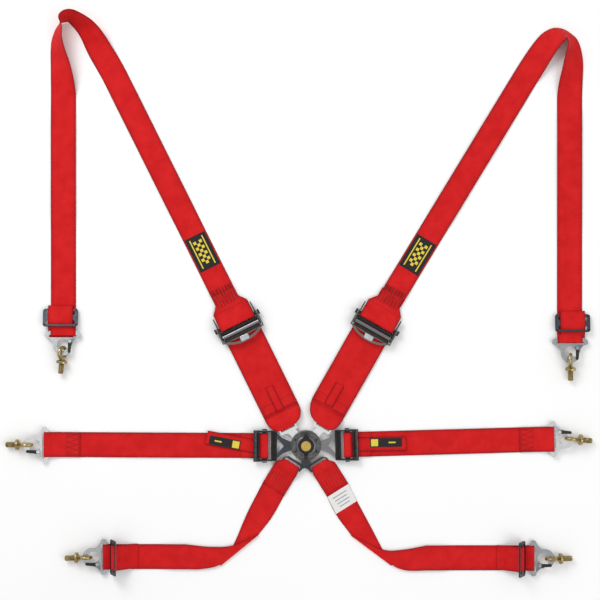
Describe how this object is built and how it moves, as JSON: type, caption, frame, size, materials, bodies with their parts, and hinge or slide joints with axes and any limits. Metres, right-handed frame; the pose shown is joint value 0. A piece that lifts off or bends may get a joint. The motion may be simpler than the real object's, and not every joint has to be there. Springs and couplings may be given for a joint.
{
  "type": "racing harness",
  "caption": "Six-point racing harness laid flat: rotary cam buckle, red lap, shoulder and leg webbing with adjusters, snap hooks and threaded eye bolts.",
  "frame": {"origin": "centre of the buckle's flat back face, on the surface that the harness lies on", "axes": "+Y towards the wearer's head, +X to the right as the harness is seen from the front, +Z away from the wearer's body, out of the knob"},
  "size_m": [1.1709, 1.126, 0.0501],
  "materials": {
    "webbing": "woven red polyester webbing",
    "housing": "tumbled grey cast alloy",
    "knob_black": "satin black",
    "gold_cap": "yellow gold anodised",
    "black_steel": "black oxide",
    "bright_steel": "polished steel",
    "grey_steel": "grey steel",
    "dark_steel": "dark blue-grey steel",
    "hook_steel": "zinc-plated steel",
    "zinc_yellow": "yellow zinc plate"
  },
  "bodies": {
    "buckle": {"buckle_base": "housing", "buckle_housing": "housing", "buckle_spindle": "bright_steel", "knob_return_spring": "bright_steel", "housing_screws": "black_steel", "left_lap_tongue": "dark_steel", "left_lap_adjuster_frame": "black_steel", "left_lap_adjuster_pin": "black_steel", "left_lap_webbing": "webbing", "left_lap_pull_tab": "webbing", "left_lap_snap_hook": "hook_steel"},
    "knob": {"knob": "knob_black", "knob_cap": "gold_cap", "cam_plate": "bright_steel"},
    "locking_pins": {"locking_pins": "bright_steel"},
    "left_lap_grip_bar": {"left_lap_grip_bar": "grey_steel"},
    "right_lap": {"right_lap_tongue": "grey_steel", "right_lap_adjuster_frame": "black_steel", "right_lap_adjuster_pin": "black_steel", "right_lap_webbing": "webbing", "right_lap_pull_tab": "webbing", "right_lap_snap_hook": "hook_steel"},
    "right_lap_grip_bar": {"right_lap_grip_bar": "grey_steel"},
    "left_shoulder": {"left_shoulder_tongue": "bright_steel", "left_shoulder_lower_webbing": "webbing", "left_shoulder_loop_webbing": "webbing", "left_shoulder_upper_webbing": "webbing", "left_adjuster_frame": "black_steel", "left_adjuster_bars": "bright_steel", "left_shoulder_snap_hook": "hook_steel"},
    "left_shoulder_lever": {"left_adjuster_lever": "black_steel"},
    "right_shoulder": {"right_shoulder_tongue": "bright_steel", "right_shoulder_lower_webbing": "webbing", "right_shoulder_loop_webbing": "webbing", "right_shoulder_upper_webbing": "webbing", "right_adjuster_frame": "black_steel", "right_adjuster_bars": "bright_steel", "right_shoulder_snap_hook": "hook_steel"},
    "right_shoulder_lever": {"right_adjuster_lever": "black_steel"},
    "legs": {"leg_connector": "dark_steel", "left_leg_webbing": "webbing", "right_leg_webbing": "webbing", "left_leg_snap_hook": "hook_steel", "right_leg_snap_hook": "hook_steel"},
    "left_shoulder_slide": {"left_shoulder_slide": "dark_steel"},
    "right_shoulder_slide": {"right_shoulder_slide": "dark_steel"},
    "left_leg_slide": {"left_leg_slide": "dark_steel"},
    "right_leg_slide": {"right_leg_slide": "dark_steel"},
    "left_lap_gate": {"left_lap_gate": "hook_steel"},
    "left_lap_eye_bolt": {"left_lap_eye_bolt": "zinc_yellow"},
    "right_lap_gate": {"right_lap_gate": "hook_steel"},
    "right_lap_eye_bolt": {"right_lap_eye_bolt": "zinc_yellow"},
    "left_shoulder_gate": {"left_shoulder_gate": "hook_steel"},
    "left_shoulder_eye_bolt": {"left_shoulder_eye_bolt": "zinc_yellow"},
    "right_shoulder_gate": {"right_shoulder_gate": "hook_steel"},
    "right_shoulder_eye_bolt": {"right_shoulder_eye_bolt": "zinc_yellow"},
    "left_leg_gate": {"left_leg_gate": "hook_steel"},
    "left_leg_eye_bolt": {"left_leg_eye_bolt": "zinc_yellow"},
    "right_leg_gate": {"right_leg_gate": "hook_steel"},
    "right_leg_eye_bolt": {"right_leg_eye_bolt": "zinc_yellow"}
  },
  "joints": [
    {"name": "knob_turn", "type": "hinge", "parent": "buckle", "child": "knob", "pos_m": [0, 0, 0.02], "axis": [0, 0, 1], "range_deg": [-60, 60], "stiffness_Nm_per_rad": 0.05},
    {"name": "locking_pins_drop", "type": "slide", "parent": "buckle", "child": "locking_pins", "axis": [0, 0, -1], "range_m": [0, 0.0033], "stiffness_N_per_m": 300},
    {"name": "right_lap_release", "type": "slide", "parent": "buckle", "child": "right_lap", "axis": [0.9996, 0.0279, 0], "range_m": [0, 0.03]},
    {"name": "left_shoulder_release", "type": "slide", "parent": "buckle", "child": "left_shoulder", "axis": [-0.7089, 0.7053, 0], "range_m": [0, 0.03]},
    {"name": "right_shoulder_release", "type": "slide", "parent": "buckle", "child": "right_shoulder", "axis": [0.6574, 0.7535, 0], "range_m": [0, 0.03]},
    {"name": "legs_release", "type": "slide", "parent": "buckle", "child": "legs", "axis": [0, -1, 0], "range_m": [0, 0.03]},
    {"name": "left_lap_grip", "type": "hinge", "parent": "buckle", "child": "left_lap_grip_bar", "pos_m": [-0.0825, -0.00107, 0.007], "axis": [0.0052, 1, 0], "range_deg": [0, 35]},
    {"name": "left_shoulder_lever_lift", "type": "hinge", "parent": "left_shoulder", "child": "left_shoulder_lever", "pos_m": [-0.1374, 0.2465, 0.01], "axis": [-0.8973, -0.4415, 0], "range_deg": [0, 70]},
    {"name": "right_lap_grip", "type": "hinge", "parent": "right_lap", "child": "right_lap_grip_bar", "pos_m": [0.08247, 0.0008, 0.007], "axis": [0.0279, -0.9996, 0], "range_deg": [0, 35]},
    {"name": "right_shoulder_lever_lift", "type": "hinge", "parent": "right_shoulder", "child": "right_shoulder_lever", "pos_m": [0.1417, 0.2459, 0.01], "axis": [-0.8695, 0.4939, 0], "range_deg": [0, 70]},
    {"name": "left_shoulder_slide_travel", "type": "slide", "parent": "left_shoulder", "child": "left_shoulder_slide", "axis": [0, 1, 0], "range_m": [0, 0.12]},
    {"name": "right_shoulder_slide_travel", "type": "slide", "parent": "right_shoulder", "child": "right_shoulder_slide", "axis": [0, 1, 0], "range_m": [0, 0.12]},
    {"name": "left_leg_slide_travel", "type": "slide", "parent": "legs", "child": "left_leg_slide", "axis": [1, 0, 0], "range_m": [0, 0.08]},
    {"name": "right_leg_slide_travel", "type": "slide", "parent": "legs", "child": "right_leg_slide", "axis": [-1, 0, 0], "range_m": [0, 0.08]},
    {"name": "left_lap_gate_open", "type": "hinge", "parent": "buckle", "child": "left_lap_gate", "pos_m": [-0.53445, -0.0127, 0.01072], "axis": [-0.2065, 0.0011, -0.9784], "range_deg": [0, 16], "stiffness_Nm_per_rad": 0.02},
    {"name": "left_lap_eye_bolt_swing", "type": "hinge", "parent": "buckle", "child": "left_lap_eye_bolt", "pos_m": [-0.55719, 0.00142, 0.014], "axis": [0, 1, 0], "range_deg": [0, 60]},
    {"name": "right_lap_gate_open", "type": "hinge", "parent": "right_lap", "child": "right_lap_gate", "pos_m": [0.5058, 0.02663, 0.01072], "axis": [0.2064, 0.0058, -0.9784], "range_deg": [0, 16], "stiffness_Nm_per_rad": 0.02},
    {"name": "right_lap_eye_bolt_swing", "type": "hinge", "parent": "right_lap", "child": "right_lap_eye_bolt", "pos_m": [0.52899, 0.01328, 0.014], "axis": [-0.1045, -0.9945, 0], "range_deg": [0, 60]},
    {"name": "left_shoulder_gate_open", "type": "hinge", "parent": "left_shoulder", "child": "left_shoulder_gate", "pos_m": [-0.471, 0.20773, 0.00983], "axis": [0, -0.1675, -0.9859], "range_deg": [0, 16], "stiffness_Nm_per_rad": 0.02},
    {"name": "left_shoulder_eye_bolt_swing", "type": "hinge", "parent": "left_shoulder", "child": "left_shoulder_eye_bolt", "pos_m": [-0.485, 0.1848, 0.01221], "axis": [-0.8211, 0.1186, -0.5583], "range_deg": [0, 60]},
    {"name": "right_shoulder_gate_open", "type": "hinge", "parent": "right_shoulder", "child": "right_shoulder_gate", "pos_m": [0.541, 0.19364, 0.01054], "axis": [0, -0.1987, -0.9801], "range_deg": [0, 16], "stiffness_Nm_per_rad": 0.02},
    {"name": "right_shoulder_eye_bolt_swing", "type": "hinge", "parent": "right_shoulder", "child": "right_shoulder_eye_bolt", "pos_m": [0.527, 0.1708, 0.01364], "axis": [-0.9663, 0.0157, -0.2568], "range_deg": [0, 60]},
    {"name": "left_leg_gate_open", "type": "hinge", "parent": "legs", "child": "left_leg_gate", "pos_m": [-0.41639, -0.237, 0.01072], "axis": [-0.2065, 0, -0.9784], "range_deg": [0, 16], "stiffness_Nm_per_rad": 0.02},
    {"name": "left_leg_eye_bolt_swing", "type": "hinge", "parent": "legs", "child": "left_leg_eye_bolt", "pos_m": [-0.4392, -0.223, 0.014], "axis": [-0.0523, 0.9986, 0], "range_deg": [0, 60]},
    {"name": "right_leg_gate_open", "type": "hinge", "parent": "legs", "child": "right_leg_gate", "pos_m": [0.46639, -0.2395, 0.01072], "axis": [-0.2065, 0, 0.9784], "range_deg": [0, 16], "stiffness_Nm_per_rad": 0.02},
    {"name": "right_leg_eye_bolt_swing", "type": "hinge", "parent": "legs", "child": "right_leg_eye_bolt", "pos_m": [0.4892, -0.2255, 0.014], "axis": [0, -1, 0], "range_deg": [0, 60]}
  ]
}
